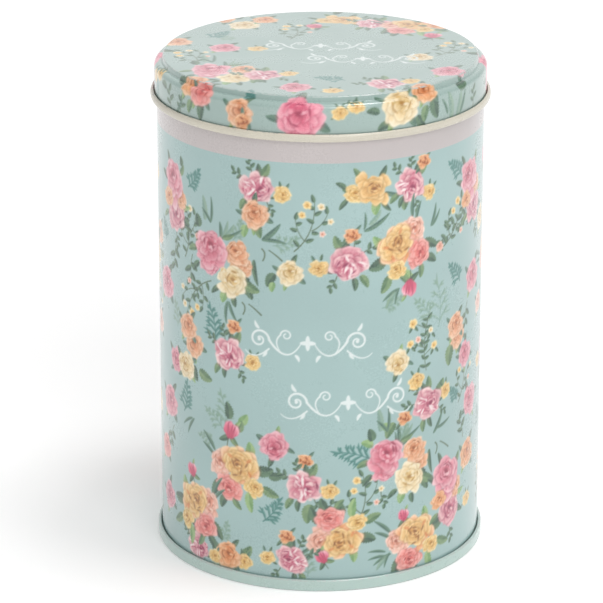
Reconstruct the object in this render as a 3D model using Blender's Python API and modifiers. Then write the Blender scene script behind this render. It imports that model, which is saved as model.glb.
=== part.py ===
"""Cookie tin: a tall round slip-lid tin made of printed tinplate.

Four pieces: the rolled side wall, the base that is double-seamed on, the lining
ring inside that seam, and the drawn lid that slips over the wall's top edge.
Units are metres, +Z is up, and the tin stands on z = 0 with its axis on Z.
"""
import math

import bmesh
import bpy

# ---------------------------------------------------------------- dimensions
MM = 0.001
SEGMENTS = 56                    # facets round every turned piece
SHEET = 0.25 * MM                # tinplate thickness
HALF = SHEET / 2
SEAM_GAP = 0.20 * MM             # clearance between the layers of the base seam

# Body wall
WALL_R = 54.80 * MM              # outside radius of the side wall
WALL_MID = WALL_R - HALF
RIM_TOP_Z = 168.95 * MM          # top of the curled mouth
RIM_CURL_R = 0.85 * MM           # mid-line radius of the inward curl at the mouth
RIM_CURL_END = 285               # degrees of curl

# Base seam
SEAM_HEIGHT = 4.00 * MM
LAYER = SHEET + SEAM_GAP         # pitch of the seam's layers
CHUCK_MID = WALL_MID - LAYER     # base wall that lies inside the body wall
END_HOOK_MID = WALL_MID + LAYER
BODY_HOOK_MID = WALL_MID + 2 * LAYER
SEAM_OUT_MID = WALL_MID + 3 * LAYER
FOLD_R = LAYER                   # mid-line radius of a fold that goes round one layer
FLANGE_Z = 1.525 * MM            # centre height of the wall's bottom fold
BODY_HOOK_TOP = 3.30 * MM
END_HOOK_LOW = 1.85 * MM
FOOT_CORNER_R = 0.45 * MM

# Base panel
PANEL_Z = 3.80 * MM              # mid-line height of the recessed base panel
PANEL_BEND_R = 0.90 * MM
BEAD_R = 44.0 * MM               # stiffening step in the base panel
BEAD_WIDTH = 2.4 * MM
BEAD_DROP = 0.9 * MM

# Lining ring in the base seam
LINING_IN = 54.78 * MM
LINING_OUT = 55.47 * MM
LINING_LOW = 0.43 * MM
LINING_HIGH = 0.75 * MM

# Side lock seam
LOCK_WIDTH = 4.2 * MM
LOCK_PROUD = 0.25 * MM           # how far the seam stands out of the wall
LOCK_BITE = 0.12 * MM            # how far its solid reaches into the wall
LOCK_LOW_Z = 4.60 * MM
LOCK_HIGH_Z = 164.0 * MM

# Lid
LID_SKIRT_R = 55.55 * MM         # outside radius of the skirt
LID_SKIRT_MID = LID_SKIRT_R - HALF
LID_TOP_Z = 171.40 * MM          # top of the raised panel
LID_PANEL_MID_Z = LID_TOP_Z - HALF
LID_PANEL_BEND_R = 0.45 * MM
LID_STEP_TOP_R = 52.55 * MM      # mid-line radius at the top of the step
LID_STEP_FOOT_R = 52.85 * MM     # and at its foot
LID_FILLET_R = 0.35 * MM
LID_RING_Z = 169.37 * MM         # mid-line height of the sunken ring
LID_SHOULDER_R = 1.90 * MM       # mid-line radius of the rounded shoulder
LID_CURL_LOW_Z = 157.10 * MM     # underside of the curled edge
LID_CURL_HALF_W = 0.70 * MM      # mid-line half width of the curl
LID_CURL_HALF_H = 1.18 * MM      # mid-line half height of the curl
LID_CURL_END = 465               # the curl runs from 180 to this angle, in degrees

# ---------------------------------------------------------------- clean start
for old in list(bpy.data.objects):
    bpy.data.objects.remove(old, do_unlink=True)
for old in list(bpy.data.collections):
    bpy.data.collections.remove(old)

scene = bpy.context.scene
parts = bpy.data.collections.new("cookie_tin")
cutters = bpy.data.collections.new("tools")
scene.collection.children.link(parts)
scene.collection.children.link(cutters)


# ---------------------------------------------------------------- profile tools
def arc(centre_r, centre_z, radius_r, start, end, steps, radius_z=None):
    """Points of an arc in the (r, z) plane, angles in degrees from +r towards +z."""
    radius_z = radius_r if radius_z is None else radius_z
    points = []
    for i in range(steps + 1):
        a = math.radians(start + (end - start) * i / steps)
        points.append((centre_r + radius_r * math.cos(a), centre_z + radius_z * math.sin(a)))
    return points


def offset_line(path, distance):
    """The path moved sideways by distance, to the left of its direction of travel."""
    moved = []
    for i, (r, z) in enumerate(path):
        ahead = path[min(i + 1, len(path) - 1)]
        behind = path[max(i - 1, 0)]
        normals = []
        for p, q in ((behind, (r, z)), ((r, z), ahead)):
            length = math.hypot(q[0] - p[0], q[1] - p[1])
            if length > 0:
                normals.append((-(q[1] - p[1]) / length, (q[0] - p[0]) / length))
        nr = sum(n[0] for n in normals) / len(normals)
        nz = sum(n[1] for n in normals) / len(normals)
        square = nr * nr + nz * nz
        moved.append((r + distance * nr / square, z + distance * nz / square))
    return moved


def sheet_profile(path):
    """Outline of a sheet that follows path, with half its thickness on each side."""
    outline = offset_line(path, HALF) + offset_line(path, -HALF)[::-1]
    area = 0.0
    for i, (r, z) in enumerate(outline):
        r2, z2 = outline[(i + 1) % len(outline)]
        area += r * z2 - r2 * z
    return outline if area < 0 else outline[::-1]      # down the outer side


def turned(name, outline, closed=True):
    """A piece of revolution made from an outline in the (r, z) plane."""
    mesh = bpy.data.meshes.new(name)
    vertices = [(r, 0.0, z) for r, z in outline]
    edges = [(i, i + 1) for i in range(len(outline) - 1)]
    if closed:
        edges.append((len(outline) - 1, 0))
    mesh.from_pydata(vertices, edges, [])
    piece = bpy.data.objects.new(name, mesh)
    parts.objects.link(piece)
    screw = piece.modifiers.new("turn", "SCREW")
    screw.axis = "Z"
    screw.angle = math.tau
    screw.steps = SEGMENTS
    screw.render_steps = SEGMENTS
    screw.use_merge_vertices = True
    screw.merge_threshold = 0.00001
    screw.use_smooth_shade = True
    return piece


def material(name, colour, roughness, metallic):
    mat = bpy.data.materials.new(name)
    mat.use_nodes = True
    shader = mat.node_tree.nodes["Principled BSDF"]
    shader.inputs["Base Color"].default_value = (*colour, 1.0)
    shader.inputs["Roughness"].default_value = roughness
    shader.inputs["Metallic"].default_value = metallic
    return mat


# ---------------------------------------------------------------- body wall
def make_body_wall():
    """Hook, bottom fold, straight wall and inward curl, turned as one sheet."""
    curl_z = RIM_TOP_Z - HALF - RIM_CURL_R
    path = [(BODY_HOOK_MID, BODY_HOOK_TOP)]
    path += arc(END_HOOK_MID, FLANGE_Z, FOLD_R, 360, 180, 4)
    path += arc(WALL_MID - RIM_CURL_R, curl_z, RIM_CURL_R, 0, RIM_CURL_END, 9)
    return turned("body_wall", sheet_profile(path))


def make_lock_seam():
    """The folded strip up the back of the wall, joined to it by a Boolean."""
    half_angle = LOCK_WIDTH / 2 / WALL_R
    inner, outer = WALL_R - LOCK_BITE, WALL_R + LOCK_PROUD
    edge_taper = 0.45 * MM / WALL_R
    ring = []
    for angle, radius in ((-half_angle, inner), (-half_angle, WALL_R + 0.3 * LOCK_PROUD),
                          (-half_angle + edge_taper, outer), (0.0, outer),
                          (half_angle - edge_taper, outer), (half_angle, WALL_R + 0.3 * LOCK_PROUD),
                          (half_angle, inner), (0.0, inner)):
        ring.append((radius * math.sin(angle), radius * math.cos(angle)))
    mesh = bpy.data.meshes.new("lock_seam_solid")
    solid = bmesh.new()
    foot = solid.faces.new([solid.verts.new((x, y, LOCK_LOW_Z)) for x, y in ring])
    raised = bmesh.ops.extrude_face_region(solid, geom=[foot], use_keep_orig=True)
    top = [v for v in raised["geom"] if isinstance(v, bmesh.types.BMVert)]
    bmesh.ops.translate(solid, verts=top, vec=(0.0, 0.0, LOCK_HIGH_Z - LOCK_LOW_Z))
    bmesh.ops.recalc_face_normals(solid, faces=solid.faces)
    solid.to_mesh(mesh)
    solid.free()
    strip = bpy.data.objects.new("lock_seam_solid", mesh)
    cutters.objects.link(strip)
    strip.hide_render = True
    strip.display_type = "WIRE"
    return strip


body_wall = make_body_wall()
join = body_wall.modifiers.new("lock_seam", "BOOLEAN")
join.operation = "UNION"
join.solver = "EXACT"
join.object = make_lock_seam()


# ---------------------------------------------------------------- base
def make_base_end():
    """Recessed panel, wall inside the body, flat foot, outer seam wall and hook."""
    bead_in, bead_out = BEAD_R - BEAD_WIDTH / 2, BEAD_R + BEAD_WIDTH / 2
    low_z = PANEL_Z - BEAD_DROP
    path = [(0.0, low_z), (bead_in - 0.6 * MM, low_z), (bead_in, low_z + 0.12 * MM),
            (bead_out, PANEL_Z - 0.12 * MM), (bead_out + 0.6 * MM, PANEL_Z)]
    path += arc(CHUCK_MID - PANEL_BEND_R, PANEL_Z - PANEL_BEND_R, PANEL_BEND_R, 90, 0, 4)
    foot_z = HALF + FOOT_CORNER_R
    path += arc(CHUCK_MID + FOOT_CORNER_R, foot_z, FOOT_CORNER_R, 180, 270, 3)
    path += arc(SEAM_OUT_MID - FOOT_CORNER_R, foot_z, FOOT_CORNER_R, 270, 360, 3)
    fold_z = SEAM_HEIGHT - HALF - FOLD_R
    path += arc(BODY_HOOK_MID, fold_z, FOLD_R, 0, 180, 4)
    path += [(END_HOOK_MID, END_HOOK_LOW)]
    upper = offset_line(path, HALF)
    under = offset_line(path, -HALF)
    upper[0], under[0] = (0.0, low_z + HALF), (0.0, low_z - HALF)
    return turned("base_end", upper + under[::-1], closed=False)


def make_seam_compound():
    mid_z = (LINING_LOW + LINING_HIGH) / 2
    soft = 0.10 * MM
    outline = [(LINING_IN + soft, LINING_HIGH), (LINING_OUT - soft, LINING_HIGH), (LINING_OUT, mid_z),
               (LINING_OUT - soft, LINING_LOW), (LINING_IN + soft, LINING_LOW), (LINING_IN, mid_z)]
    return turned("seam_compound", outline)


# ---------------------------------------------------------------- lid
def make_lid():
    """Raised panel, step, sunken ring, shoulder, skirt and outward curl."""
    path = [(0.0, LID_PANEL_MID_Z)]
    path += arc(LID_STEP_TOP_R - LID_PANEL_BEND_R, LID_PANEL_MID_Z - LID_PANEL_BEND_R,
                LID_PANEL_BEND_R, 90, 8, 3)
    path += arc(LID_STEP_FOOT_R + LID_FILLET_R, LID_RING_Z + LID_FILLET_R, LID_FILLET_R, 188, 270, 3)
    path += arc(LID_SKIRT_MID - LID_SHOULDER_R, LID_RING_Z - LID_SHOULDER_R, LID_SHOULDER_R, 90, 0, 5)
    curl_z = LID_CURL_LOW_Z + HALF + LID_CURL_HALF_H
    path += arc(LID_SKIRT_MID + LID_CURL_HALF_W, curl_z, LID_CURL_HALF_W, 180, LID_CURL_END, 9,
                LID_CURL_HALF_H)
    upper = offset_line(path, HALF)
    under = offset_line(path, -HALF)
    return turned("lid", upper + under[::-1], closed=False)


base_end = make_base_end()
seam_compound = make_seam_compound()
lid = make_lid()

# ---------------------------------------------------------------- materials
FINISHES = (
    (body_wall, "printed_tinplate_wall", (0.39, 0.54, 0.52), 0.35, 0.0),
    (base_end, "printed_tinplate_base", (0.47, 0.60, 0.57), 0.35, 0.0),
    (seam_compound, "seam_lining", (0.72, 0.70, 0.64), 0.80, 0.0),
    (lid, "printed_tinplate_lid", (0.48, 0.62, 0.58), 0.35, 0.0),
)
for piece, name, colour, roughness, metallic in FINISHES:
    piece.data.materials.append(material(name, colour, roughness, metallic))

# ---------------------------------------------------------------- shading
bpy.context.view_layer.update()
for piece in (body_wall, base_end, seam_compound, lid):
    bpy.context.view_layer.objects.active = piece
    with bpy.context.temp_override(object=piece, active_object=piece):
        for modifier in list(piece.modifiers):
            bpy.ops.object.modifier_apply(modifier=modifier.name)
    piece.data.shade_smooth()
    piece.data.set_sharp_from_angle(angle=math.radians(40))
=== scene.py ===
"""Cookie tin: the visual model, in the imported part's frame. +Z is up and the front faces -Y.

Lengths are in millimetres until a mesh is made, then metres. The floral print is drawn by
this script, ink by ink, on flat sheets; each sheet's colours go onto a fine mesh.
"""
import math

import bpy
import numpy as np
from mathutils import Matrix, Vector


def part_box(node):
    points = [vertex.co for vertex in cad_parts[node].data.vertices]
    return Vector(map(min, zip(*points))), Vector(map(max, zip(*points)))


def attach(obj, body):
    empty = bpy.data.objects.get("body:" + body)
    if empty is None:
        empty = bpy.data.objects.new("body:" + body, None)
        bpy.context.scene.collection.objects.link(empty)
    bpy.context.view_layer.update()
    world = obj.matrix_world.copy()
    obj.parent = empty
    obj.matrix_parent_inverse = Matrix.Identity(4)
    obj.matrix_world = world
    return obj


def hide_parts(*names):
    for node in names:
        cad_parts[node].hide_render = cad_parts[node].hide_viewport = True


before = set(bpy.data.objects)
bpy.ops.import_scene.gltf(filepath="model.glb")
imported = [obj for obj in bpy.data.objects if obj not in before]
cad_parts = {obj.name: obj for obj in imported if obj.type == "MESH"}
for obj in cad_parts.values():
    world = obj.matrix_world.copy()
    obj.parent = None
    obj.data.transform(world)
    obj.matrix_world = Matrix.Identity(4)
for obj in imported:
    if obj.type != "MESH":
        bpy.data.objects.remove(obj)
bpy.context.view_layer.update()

# ---------------------------------------------------------------- sizes
MM = 0.001
_, wall_high = (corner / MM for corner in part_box("body_wall"))
_, base_high = (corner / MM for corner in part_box("base_end"))
lid_low, lid_high = (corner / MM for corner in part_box("lid"))

SHEET = 0.25                      # tinplate thickness
HALF = SHEET / 2
FILM = 0.03                       # depth of the printed and varnished skin
FILM_BACK = 0.06                  # how far below the surface the skin's underside lies
WALL_R = 54.80
WALL_MID = WALL_R - HALF
RIM_TOP_Z = wall_high.z
RIM_CURL_R = 0.85
BAND_Z = 149.5                    # lower edge of the pale band
LAYER = SHEET + 0.20              # pitch of the base seam's layers
SEAM_HEIGHT = round(base_high.z, 1)              # the box stands 0.01 above it
FOLD_Z = 1.525                    # centre of the fold at the wall's foot
HOOK_TOP_Z, END_HOOK_LOW_Z = 3.30, 1.85          # ends of the wall's hook and the base's
LOCK_WIDTH, LOCK_PROUD = 4.2, 0.25
LOCK_SIDE_R = 0.22                # rounding of the lock seam's sides
LOCK_GROOVE_X = 0.9               # where the folded edge shows as a groove
LOCK_LOW_Z, LOCK_HIGH_Z = 4.60, 164.0
LOCK_LEVELS = 60                  # rings of the lock seam's even part
PANEL_Z = 3.80
PANEL_BEND_R = 0.9
FOOT_CORNER_R = 0.45
BEAD_R, BEAD_HALF, BEAD_DROP = 44.0, 1.2, 0.9
LID_SKIRT_MID = 55.55 - HALF
LID_TOP_Z = lid_high.z
LID_RING_Z = LID_TOP_Z - 2.03
LID_SHOULDER_R = 1.90
LID_PANEL_R, LID_PANEL_BEND_R = 52.10, 0.45      # the flat panel, and its edge's bend
LID_RING_R, LID_FILLET_R = 53.20, 0.35           # the sunken ring, and its inner corner
LID_CURL_LOW_Z = lid_low.z
LID_CURL_HALF_W, LID_CURL_HALF_H = 0.70, 1.18

ROUND = 256                       # facets round a plain turned piece
LID_COLUMNS = 960                 # columns of the lid's print mesh, at its edge
LID_STEP = 0.30                   # spacing of the lid print's rings
CELL = 0.15                       # size of an ink cell
POOL = 2                          # cells averaged into one mesh colour, each way

# ---------------------------------------------------------------- colours, 0 to 255
AQUA = (161, 189, 187)
LID_AQUA = (158, 180, 174)
BAND = (194, 186, 185)
WHITE = (224, 233, 231)
BASE_AQUA = (180, 203, 196)
LACQUER = (212, 206, 190)
WORN_TIN = (184, 194, 190)
PINK = ((146, 48, 72), (200, 86, 108), (222, 132, 148), (242, 196, 202))
ROSE_RED = ((156, 40, 74), (210, 84, 114), (232, 126, 148), (248, 188, 198))
MAUVE = ((138, 48, 80), (190, 86, 112), (214, 134, 148), (246, 216, 212))
PEACH = ((150, 84, 44), (214, 130, 84), (232, 168, 126), (246, 208, 176))
ORANGE = ((146, 74, 30), (214, 124, 66), (230, 158, 106), (246, 204, 164))
CREAM = ((166, 122, 62), (214, 178, 112), (236, 212, 164), (247, 236, 210))
GOLD = ((138, 86, 42), (206, 146, 78), (228, 180, 108), (242, 208, 150))
BLUSH = ((164, 92, 72), (222, 144, 120), (238, 180, 158), (248, 218, 204))
CORAL = ((158, 58, 58), (216, 98, 96), (232, 136, 128), (244, 186, 176))
YELLOW = ((160, 108, 44), (214, 160, 80), (236, 196, 120), (246, 222, 168))
DARK_LEAF = ((60, 88, 74), (104, 136, 106))
MID_LEAF = ((82, 116, 84), (136, 162, 118))
LIGHT_LEAF = ((114, 154, 98), (164, 192, 136))
SLIM_LEAF = ((70, 104, 92), (108, 142, 120))
TEAL = ((66, 118, 112), (98, 150, 142))
PALE_LEAF = ((112, 146, 130), (142, 170, 144))
TWIG = (92, 112, 88)
RUST = (150, 72, 34)


# ---------------------------------------------------------------- profiles
def arc(centre_r, centre_z, radius_r, start, end, steps, radius_z=None):
    """Points of an arc in the (r, z) plane, angles in degrees from +r towards +z."""
    radius_z = radius_r if radius_z is None else radius_z
    angles = [math.radians(start + (end - start) * i / steps) for i in range(steps + 1)]
    return [(centre_r + radius_r * math.cos(a), centre_z + radius_z * math.sin(a))
            for a in angles]


def offset_line(path, distance):
    """The path moved sideways by distance, to the left of its direction of travel."""
    moved = []
    for i, (r, z) in enumerate(path):
        before, after = path[max(i - 1, 0)], path[min(i + 1, len(path) - 1)]
        sides = []
        for p, q in ((before, (r, z)), ((r, z), after)):
            length = math.hypot(q[0] - p[0], q[1] - p[1])
            if length > 1e-9:
                sides.append((-(q[1] - p[1]) / length, (q[0] - p[0]) / length))
        side_r = sum(s[0] for s in sides) / len(sides)
        side_z = sum(s[1] for s in sides) / len(sides)
        square = side_r * side_r + side_z * side_z
        moved.append((r + distance * side_r / square, z + distance * side_z / square))
    return moved


def resample(path, spacing):
    """The path with extra points, so that none are further apart than spacing."""
    dense = [path[0]]
    for p, q in zip(path, path[1:]):
        count = max(1, math.ceil(math.hypot(q[0] - p[0], q[1] - p[1]) / spacing))
        dense += [(p[0] + (q[0] - p[0]) * k / count, p[1] + (q[1] - p[1]) * k / count)
                  for k in range(1, count + 1)]
    return dense


def sharpness(outline, closed):
    """How tightly the outline turns at each point, from 0 on a flat to 1 on a sharp corner."""
    points = np.array(outline, float)
    last, following = np.roll(points, 1, 0), np.roll(points, -1, 0)
    if not closed:
        last[0], following[-1] = points[0], points[-1]
    inward, onward = points - last, following - points
    lengths = np.hypot(*inward.T) + np.hypot(*onward.T)
    cross = inward[:, 0] * onward[:, 1] - inward[:, 1] * onward[:, 0]
    turn = np.arctan2(cross, (inward * onward).sum(1))
    return np.clip(0.8 * turn / np.maximum(lengths / 2, 0.05), 0, 1)


# ---------------------------------------------------------------- meshes
def strip(below, above):
    """Faces between two rings of vertex numbers: (four-sided, three-sided)."""
    a, b = np.asarray(below), np.asarray(above)
    none4, none3 = np.zeros((0, 4), int), np.zeros((0, 3), int)
    if len(a) == len(b):
        return np.stack((a, np.roll(a, -1), np.roll(b, -1), b), 1), none3
    if len(a) == 1:
        return none4, np.stack((np.full(len(b), a[0]), np.roll(b, -1), b), 1)
    if len(b) == 1:
        return none4, np.stack((a, np.roll(a, -1), np.full(len(a), b[0])), 1)
    if len(b) == 2 * len(a):
        a2, left, middle, right = np.roll(a, -1), b[::2], b[1::2], np.roll(b[::2], -1)
        faces = ((a, a2, middle), (a, middle, left), (a2, right, middle))
    else:
        b2, left, middle, right = np.roll(b, -1), a[::2], a[1::2], np.roll(a[::2], -1)
        faces = ((left, middle, b), (middle, b2, b), (middle, right, b2))
    return none4, np.concatenate([np.stack(f, 1) for f in faces])


def mesh_piece(name, places, quads, tris, materials, quad_slots=None, tri_slots=None):
    """An object from arrays of places in millimetres and of faces."""
    mesh = bpy.data.meshes.new(name)
    mesh.vertices.add(len(places))
    mesh.vertices.foreach_set("co", (np.asarray(places) * MM).astype(np.float32).ravel())
    corners = np.concatenate((quads.ravel(), tris.ravel())).astype(np.int32)
    starts = np.concatenate((np.arange(len(quads)) * 4,
                             len(quads) * 4 + np.arange(len(tris)) * 3))
    mesh.loops.add(len(corners))
    mesh.loops.foreach_set("vertex_index", corners)
    mesh.polygons.add(len(starts))
    mesh.polygons.foreach_set("loop_start", starts.astype(np.int32))
    if quad_slots is not None:
        slots = np.concatenate((quad_slots, tri_slots)).astype(np.int32)
        mesh.polygons.foreach_set("material_index", slots)
    mesh.update(calc_edges=True)
    mesh.validate()
    mesh.shade_smooth()
    mesh.set_sharp_from_angle(angle=math.radians(40))
    for material in materials:
        mesh.materials.append(material)
    piece = bpy.data.objects.new(name, mesh)
    bpy.context.scene.collection.objects.link(piece)
    return piece


def colour_points(piece, colours, edges):
    """Stores each vertex's ink (red, green, blue, cover) and how sharp an edge it is on."""
    ink = piece.data.color_attributes.new("ink", "FLOAT_COLOR", "POINT")
    ink.data.foreach_set("color", np.asarray(colours, np.float32).ravel())
    edge = piece.data.attributes.new("edge", "FLOAT", "POINT")
    edge.data.foreach_set("value", np.asarray(edges, np.float32).ravel())


def recolour(piece, colours):
    flat = np.asarray(colours, np.float32).ravel()
    piece.data.color_attributes["ink"].data.foreach_set("color", flat)


def turned(name, outline, materials, closed=True, counts=ROUND, slots=None, ground=AQUA):
    """A piece of revolution. The outline runs up its outer side and down its inner side.

    counts is the number of facets, or one number for each point; slots is the material of
    each stretch between two points. Returns the object, each vertex's outline point and angle.
    """
    counts = [counts] * len(outline) if isinstance(counts, int) else counts
    rings, places, which, angles = [], [], [], []
    total = 0
    for k, ((r, z), count) in enumerate(zip(outline, counts)):
        count = 1 if r < 1e-6 else count
        a = np.arange(count) * math.tau / count - math.pi
        rings.append(total + np.arange(count))
        places.append(np.stack((r * np.sin(a), -r * np.cos(a), np.full(count, z)), 1))
        which.append(np.full(count, k))
        angles.append(a)
        total += count
    quads, tris, quad_slots, tri_slots = [], [], [], []
    steps = len(outline) if closed else len(outline) - 1
    for k in range(steps):
        q, t = strip(rings[k], rings[(k + 1) % len(outline)])
        slot = 0 if slots is None else slots[k]
        quads.append(q)
        tris.append(t)
        quad_slots.append(np.full(len(q), slot))
        tri_slots.append(np.full(len(t), slot))
    joined = [np.concatenate(part) for part in (places, quads, tris, quad_slots, tri_slots)]
    piece = mesh_piece(name, *joined[:3], materials, *joined[3:])
    which, angles = np.concatenate(which), np.concatenate(angles)
    colour_points(piece, bare(ground, total), sharpness(outline, closed)[which])
    return piece, which, angles


# ---------------------------------------------------------------- inks
def linear(colour):
    """Screen colours from 0 to 1 as linear light."""
    colour = np.asarray(colour, float)
    return np.where(colour <= 0.04045, colour / 12.92, ((colour + 0.055) / 1.055) ** 2.4)


def bare(colour, count):
    """The ink of count points that carry only this ground colour."""
    return np.tile(np.append(linear(np.array(colour) / 255), 0), (count, 1))


def tones(colours):
    return [np.array(c) / 255 for c in colours]


def smooth(value, low, high):
    t = np.clip((value - low) / (high - low), 0, 1)
    return t * t * (3 - 2 * t)


class Sheet:
    """A flat sheet of tinplate that takes ink; one that wraps joins up left to right."""

    def __init__(self, width, height, ground, wraps):
        self.nx, self.ny, self.wraps = round(width / CELL), round(height / CELL), wraps
        self.rgb = np.empty((self.ny, self.nx, 3), np.float32)
        self.rgb[:] = np.array(ground) / 255
        self.cover = np.zeros((self.ny, self.nx, 1), np.float32)

    def near(self, x, y, reach):
        """The cells within reach of a place, and where their centres are."""
        cols = np.arange(math.floor((x - reach) / CELL), math.ceil((x + reach) / CELL) + 1)
        rows = np.arange(math.floor((y - reach) / CELL), math.ceil((y + reach) / CELL) + 1)
        rows = rows[(rows >= 0) & (rows < self.ny)]
        if not self.wraps:
            cols = cols[(cols >= 0) & (cols < self.nx)]
        cells = np.ix_(rows, cols % self.nx)
        return cells, (cols[None, :] + 0.5) * CELL, (rows[:, None] + 0.5) * CELL

    def lay(self, cells, share, colour, opaque=True):
        share = np.asarray(share, np.float32)[..., None]
        self.rgb[cells] += (colour - self.rgb[cells]) * share
        if opaque:
            self.cover[cells] = np.maximum(self.cover[cells], share)

    def repeated(self, times):
        """This sheet printed over and over, side by side."""
        self.rgb = np.tile(self.rgb, (1, times, 1))
        self.cover = np.tile(self.cover, (1, times, 1))
        self.nx *= times

    def pooled(self):
        """Averages of POOL by POOL cells, as linear colour and cover."""
        ny, nx = self.ny // POOL, self.nx // POOL
        both = np.concatenate((self.rgb, self.cover), 2)[:ny * POOL, :nx * POOL]
        small = both.reshape(ny, POOL, nx, POOL, 4).mean((1, 3))
        small[..., :3] = linear(small[..., :3])
        return small


class Pen:
    """A place on a sheet to draw at, with its own axes: y runs away from the motif's root."""

    def __init__(self, sheet, origin, axes):
        self.sheet = sheet
        self.origin, self.axes = np.array(origin, float), np.array(axes, float)
        self.scale = math.sqrt(abs(np.linalg.det(self.axes)))

    def moved(self, x=0.0, y=0.0, turn=0.0, size=1.0, flip=False):
        turn = math.radians(turn)
        c, s = math.cos(turn) * size, math.sin(turn) * size
        local = np.array(((-c if flip else c, -s), (-s if flip else s, c)))
        return Pen(self.sheet, self.origin + self.axes @ (x, y), self.axes @ local)

    def cells(self, reach):
        stretch = np.linalg.norm(self.axes, 2)
        cells, gx, gy = self.sheet.near(*self.origin, reach * stretch)
        (a, b), (c, d) = np.linalg.inv(self.axes)
        dx, dy = gx - self.origin[0], gy - self.origin[1]
        return cells, a * dx + b * dy, c * dx + d * dy

    def inside(self, distance, soft=1.6):
        """Ink share from a signed distance that is negative inside the shape."""
        return np.clip(0.5 - distance * self.scale / (CELL * soft), 0, 1)


def petal(pen, length, width, deep, pale, phase, gloom=0.4, ruffle=0.08):
    """A soft rounded petal centred on the pen, deep at its root and pale at its lip."""
    a, b = width / 2, length / 2
    cells, x, y = pen.cells(max(a, b) * 1.5)
    turn = np.arctan2(y / b, x / a)
    waves = (np.cos(2 * turn + 2 * phase) + np.cos(3 * turn + phase)
             + 0.6 * np.cos(5 * turn - 2 * phase))
    q = np.hypot(x / a, y / b) * (1 + ruffle * waves)
    under = pen.sheet.cover[cells][..., 0]
    shade = gloom * under * (1 - smooth(q, 0.9, 1.45)) * (q > 0.85)
    pen.sheet.lay(cells, shade, deep * 0.8, False)
    t = np.clip(0.42 + 0.62 * y / b, 0, 1)
    streaks = np.sin(9 * x / a + phase * 3 + 2 * y / b) + 0.6 * np.sin(17 * x / a - phase)
    t = np.clip(t + 0.16 * streaks * (1.15 - t), 0, 1)[..., None]
    colour = deep + (pale - deep) * t
    lip = (smooth(q, 0.5, 0.92) * smooth(y / b, -0.2, 0.6))[..., None]
    colour = colour + (pale * 0.7 + 0.3 - colour) * lip * 0.4
    pen.sheet.lay(cells, pen.inside((q - 1) * min(a, b), 3.0), colour)


def crease(pen, radius, start, sweep, width, colour, share=0.8, soft=1.6):
    """Part of a ring round the pen, tapering at both ends."""
    cells, x, y = pen.cells(radius + width)
    along = ((np.degrees(np.arctan2(y, x)) - start) % 360) / sweep
    half = width / 2 * np.sqrt(np.clip(np.sin(np.clip(along, 0, 1) * math.pi), 0, 1))
    band = np.where(along < 1, np.abs(np.hypot(x, y) - radius) - half, 9.0)
    pen.sheet.lay(cells, pen.inside(band, soft) * share, colour, False)


def dab(pen, x, y, long, wide, turn, colour, share):
    """A soft touch of the brush, laid only where there is ink already."""
    cells, u, v = pen.moved(x, y, turn=turn).cells(max(long, wide))
    q = np.hypot(u / (wide / 2), v / (long / 2))
    under = pen.sheet.cover[cells][..., 0]
    pen.sheet.lay(cells, share * under * (1 - smooth(q, 0.35, 1.3)), colour, False)


# number of petals, distance from the heart, length and width, as shares of the rose's size
ROSE_RINGS = ((8, 0.32, 0.36, 0.37), (6, 0.215, 0.31, 0.34), (4, 0.11, 0.24, 0.26))
RING_TURN = 137                   # degrees from one ring's first petal to the next one's
FULL_TURN = 6.28


def rose(pen, size, colours, seed, heart=(0.06, 0.08), squat=0.92):
    """A full painted rose, size across, with its heart off centre."""
    vary = np.random.default_rng(seed)
    any_of = vary.uniform
    dark, deep, mid, pale = tones(colours)
    pen = pen.moved(turn=any_of(-30, 30))
    squash = np.array(((1.0, 0.0), (0.0, squat * any_of(0.9, 1.06))))
    pen = Pen(pen.sheet, pen.origin, pen.axes @ squash)
    start = any_of(0, 360)
    inks = ((deep * 0.3 + mid * 0.7, pale), (deep * 0.65 + mid * 0.35, mid * 0.3 + pale * 0.7),
            (deep * 0.85 + dark * 0.15, mid * 0.7 + pale * 0.3))
    for ring, (count, away, length, width) in enumerate(ROSE_RINGS):
        root, lip = inks[ring]
        centre = pen.moved(heart[0] * size * ring / 2, heart[1] * size * ring / 2)
        for k in vary.permutation(count):
            turn = start + 360 * k / count + any_of(-18, 18)
            grow, fade = any_of(0.78, 1.22), any_of(0, 0.6)
            out = away * size * any_of(0.82, 1.12)
            place = centre.moved(turn=turn).moved(0, out, any_of(-22, 22))
            petal(place, length * size * grow, width * size * any_of(0.8, 1.2),
                  root * any_of(0.95, 1.04),
                  np.clip((lip * (1 - fade) + mid * fade) * any_of(0.96, 1.03), 0, 1),
                  any_of(0, FULL_TURN))
        start += RING_TURN
    heart_pen = pen.moved(heart[0] * size, heart[1] * size)
    for k in range(22):
        radius = any_of(0.08, 0.42)
        about = heart_pen if radius < 0.28 else pen
        crease(about, radius * size, any_of(0, 360), any_of(16, 48) * 0.2 / radius,
               any_of(0.05, 0.1) * size, (pale, mid, deep, pale)[k % 4], any_of(0.35, 0.75), 3.2)
    for _ in range(5):
        turn, away = any_of(0, FULL_TURN), any_of(0.1, 0.3) * size
        dab(heart_pen, away * math.cos(turn), away * math.sin(turn), any_of(0.14, 0.24) * size,
            0.055 * size, math.degrees(turn), dark, any_of(0.45, 0.8))
    dab(heart_pen, 0, 0, 0.2 * size, 0.12 * size, any_of(20, 120), dark, 0.9)
    dab(heart_pen, 0.07 * size, -0.07 * size, 0.16 * size, 0.08 * size, any_of(20, 120), pale, 0.8)


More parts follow.
